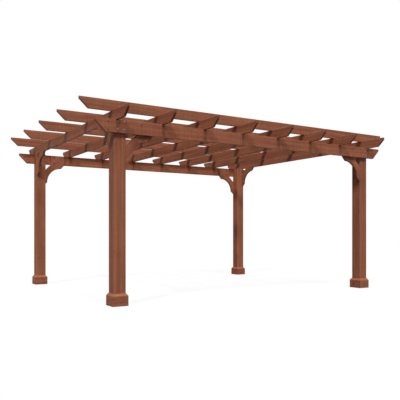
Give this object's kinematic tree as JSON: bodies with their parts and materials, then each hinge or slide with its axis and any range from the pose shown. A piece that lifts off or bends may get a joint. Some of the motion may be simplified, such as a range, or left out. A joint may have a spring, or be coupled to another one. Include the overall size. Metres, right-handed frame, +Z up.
{
  "type": "wooden pergola",
  "caption": "Free-standing timber pergola: square posts with foot collars, long beams, rafters, purlins with cut ends, and curved knee braces.",
  "frame": {"origin": "on the ground at the centre of the four posts, which is also the centre of the roof's plan", "axes": "+X along the two long beams and the purlins, +Y along the rafters to the rear, +Z up"},
  "size_m": [5.997, 4.638, 2.835],
  "materials": {
    "post_timber": "semi-transparent reddish brown stain",
    "board_timber": "semi-transparent reddish brown stain",
    "bolt_steel": "weathered zinc-plated bolts and washers",
    "trim_board": "semi-transparent reddish brown stain"
  },
  "bodies": {
    "root": {"post_front_left": "post_timber", "post_front_right": "post_timber", "post_rear_left": "post_timber", "post_rear_right": "post_timber", "collar_front_left": "trim_board", "collar_front_right": "trim_board", "collar_rear_left": "trim_board", "collar_rear_right": "trim_board", "front_beam": "board_timber", "rear_beam": "board_timber", "rafter_1": "board_timber", "rafter_2": "board_timber", "rafter_3": "board_timber", "rafter_4": "board_timber", "rafter_5": "board_timber", "rafter_6": "board_timber", "rafter_7": "board_timber", "rafter_8": "board_timber", "purlin_1": "board_timber", "purlin_2": "board_timber", "purlin_3": "board_timber", "purlin_4": "board_timber", "purlin_5": "board_timber", "beam_brace_front_left": "board_timber", "beam_brace_front_right": "board_timber", "beam_brace_rear_left": "board_timber", "beam_brace_rear_right": "board_timber", "rafter_brace_front_left": "board_timber", "rafter_brace_front_right": "board_timber", "rafter_brace_rear_left": "board_timber", "rafter_brace_rear_right": "board_timber"}
  },
  "joints": []
}
